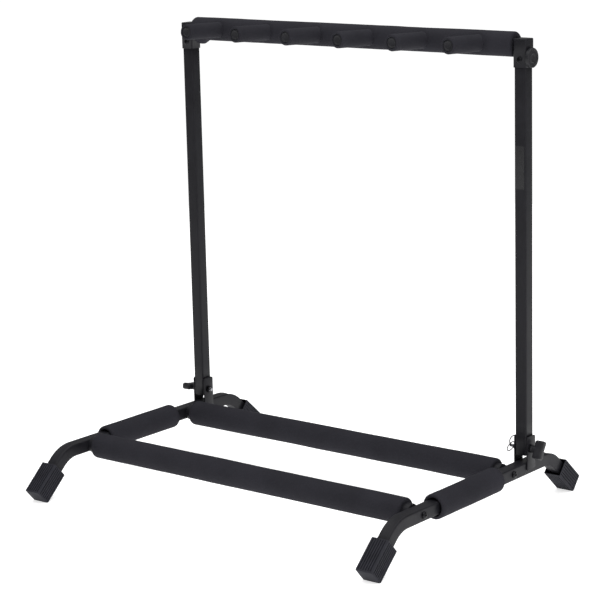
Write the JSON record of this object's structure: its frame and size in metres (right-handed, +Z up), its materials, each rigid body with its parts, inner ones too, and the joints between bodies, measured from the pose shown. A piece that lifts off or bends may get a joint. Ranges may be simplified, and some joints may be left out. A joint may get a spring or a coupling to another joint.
{
  "type": "guitar rack",
  "caption": "Folding floor rack for guitars: two square-tube legs on rubber feet, padded bottom rails and a hinged frame with a padded neck yoke of short prongs.",
  "frame": {"origin": "centre of the footprint at floor level", "axes": "+Z up; +X along the rails, from the left leg to the right leg; -Y is the side the prongs point to, where the guitars' fronts face; +Y is the side of the posts"},
  "size_m": [0.6892, 0.526, 0.6988],
  "materials": {
    "steel_black": "black powder-coated steel tube and plate",
    "foam_black": "black closed-cell foam tubing with a fine grain",
    "rubber_black": "black moulded rubber with ribs",
    "plastic_black": "black moulded plastic",
    "bolt_black": "black oxide steel fastener",
    "zinc": "bright zinc-plated steel"
  },
  "bodies": {
    "base": {"left_leg_tube": "steel_black", "front_left_foot": "rubber_black", "rear_left_foot": "rubber_black", "left_side_foam": "foam_black", "left_outer_cheek": "steel_black", "left_inner_cheek": "steel_black", "left_clamp_washer": "bolt_black", "left_pivot_stud": "zinc", "left_pivot_nut": "bolt_black", "right_leg_tube": "steel_black", "front_right_foot": "rubber_black", "rear_right_foot": "rubber_black", "right_side_foam": "foam_black", "right_outer_cheek": "steel_black", "right_inner_cheek": "steel_black", "right_clamp_washer": "bolt_black", "right_pivot_stud": "zinc", "right_pivot_nut": "bolt_black", "front_rail_tube": "steel_black", "front_rail_foam": "foam_black", "front_rail_bolt_left": "bolt_black", "front_rail_bolt_right": "bolt_black", "rear_rail_tube": "steel_black", "rear_rail_foam": "foam_black", "rear_rail_bolt_left": "bolt_black", "rear_rail_bolt_right": "bolt_black"},
    "upright": {"left_post": "steel_black", "left_yoke_socket": "steel_black", "left_socket_screw": "bolt_black", "right_post": "steel_black", "right_yoke_socket": "steel_black", "right_socket_screw": "bolt_black", "yoke_rail_tube": "steel_black", "yoke_rail_foam": "foam_black", "prong_1_tube": "steel_black", "prong_1_foam": "foam_black", "prong_1_cap": "plastic_black", "prong_2_tube": "steel_black", "prong_2_foam": "foam_black", "prong_2_cap": "plastic_black", "prong_3_tube": "steel_black", "prong_3_foam": "foam_black", "prong_3_cap": "plastic_black", "prong_4_tube": "steel_black", "prong_4_foam": "foam_black", "prong_4_cap": "plastic_black", "prong_5_tube": "steel_black", "prong_5_foam": "foam_black", "prong_5_cap": "plastic_black", "prong_6_tube": "steel_black", "prong_6_foam": "foam_black", "prong_6_cap": "plastic_black", "yoke_knob_stud": "zinc"},
    "left_knob": {"left_clamp_knob": "plastic_black"},
    "right_knob": {"right_clamp_knob": "plastic_black"},
    "yoke_knob_body": {"yoke_knob": "plastic_black"},
    "large_ring": {"keeper_ring_large": "zinc"},
    "small_ring": {"keeper_ring_small": "zinc"}
  },
  "joints": [
    {"name": "upright_fold", "type": "hinge", "parent": "base", "child": "upright", "pos_m": [0, 0.13, 0.0935], "axis": [1, 0, 0], "range_deg": [0, 90]},
    {"name": "left_knob_turn", "type": "hinge", "parent": "base", "child": "left_knob", "pos_m": [-0.3246, 0.13, 0.0935], "axis": [-1, 0, 0], "continuous": true},
    {"name": "right_knob_turn", "type": "hinge", "parent": "base", "child": "right_knob", "pos_m": [0.3246, 0.13, 0.0935], "axis": [1, 0, 0], "continuous": true},
    {"name": "yoke_knob_turn", "type": "hinge", "parent": "upright", "child": "yoke_knob_body", "pos_m": [0.3221, 0.13, 0.663], "axis": [1, 0, 0], "continuous": true},
    {"name": "large_ring_swing", "type": "hinge", "parent": "base", "child": "large_ring", "pos_m": [0.2895, 0.13, 0.0935], "axis": [-0.3122, -0.8106, 0.4954], "range_deg": [-8, 30]},
    {"name": "small_ring_swing", "type": "hinge", "parent": "base", "child": "small_ring", "pos_m": [0.2932, 0.13, 0.0935], "axis": [-0.0158, 0.7072, 0.7069], "range_deg": [-15, 40]}
  ]
}
